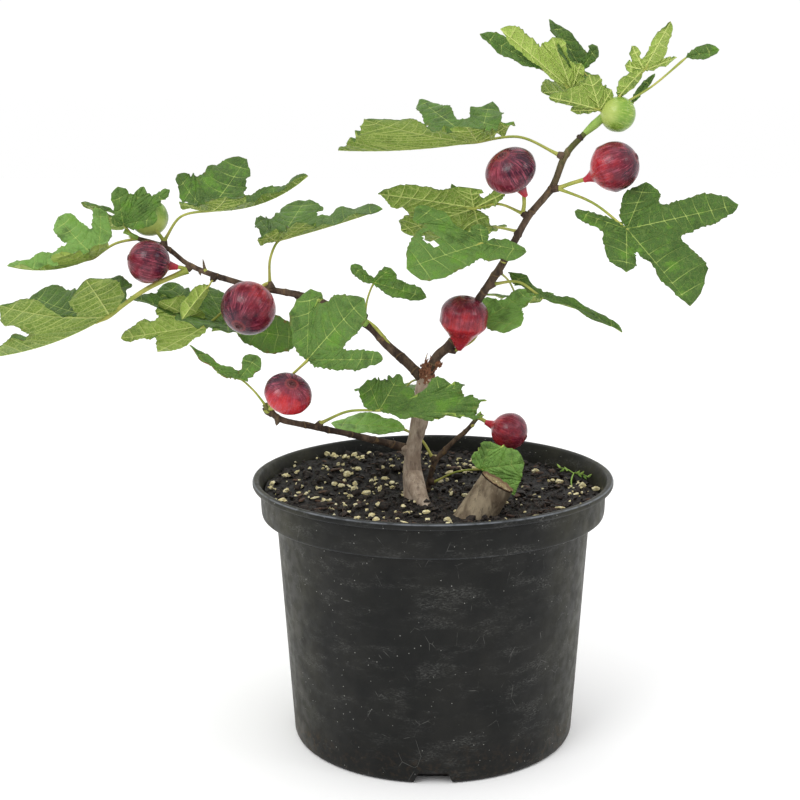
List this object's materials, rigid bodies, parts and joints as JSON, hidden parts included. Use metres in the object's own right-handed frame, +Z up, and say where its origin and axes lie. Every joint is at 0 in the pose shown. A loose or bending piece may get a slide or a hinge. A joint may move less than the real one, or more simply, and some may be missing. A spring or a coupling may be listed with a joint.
{
  "type": "potted fig tree",
  "caption": "Young fig tree with broad lobed leaves and ripe purple figs, grown from a forked trunk in a round black nursery pot full of soil.",
  "frame": {"origin": "middle of the pot's flat underside, at floor level", "axes": "+Z up, +X to the right as the plant is seen from the front, +Y away from the front"},
  "size_m": [0.5715, 0.3044, 0.5498],
  "materials": {
    "pot_plastic": "matte, scuffed",
    "potting_soil": "loose dark peat",
    "old_bark": "grey-tan bark",
    "young_bark": "dark brown bark",
    "foliage": "leaves, with figs among them"
  },
  "bodies": {
    "root": {"pot": "pot_plastic", "soil": "potting_soil", "trunk": "old_bark", "cut_stump": "old_bark", "shoot_right": "young_bark", "bough_left": "young_bark", "bough_right": "young_bark", "branch_low_left": "young_bark", "spray_left_inner": "foliage", "spray_left_middle": "foliage", "spray_left_back": "foliage", "spray_left_small": "foliage", "spray_left_outer": "foliage", "spray_left_high": "foliage", "crown_left": "foliage", "spray_right_foot": "foliage", "spray_right_back": "foliage", "spray_right_low": "foliage", "spray_right_front": "foliage", "spray_right_middle": "foliage", "spray_right_far": "foliage", "spray_right_outer": "foliage", "spray_right_high": "foliage", "crown_right": "foliage", "spray_trunk_back": "foliage", "spray_low_middle": "foliage", "crown_low_left": "foliage", "spray_shoot_foot": "foliage", "spray_shoot_back": "foliage", "spray_shoot_tip": "foliage"}
  },
  "joints": []
}
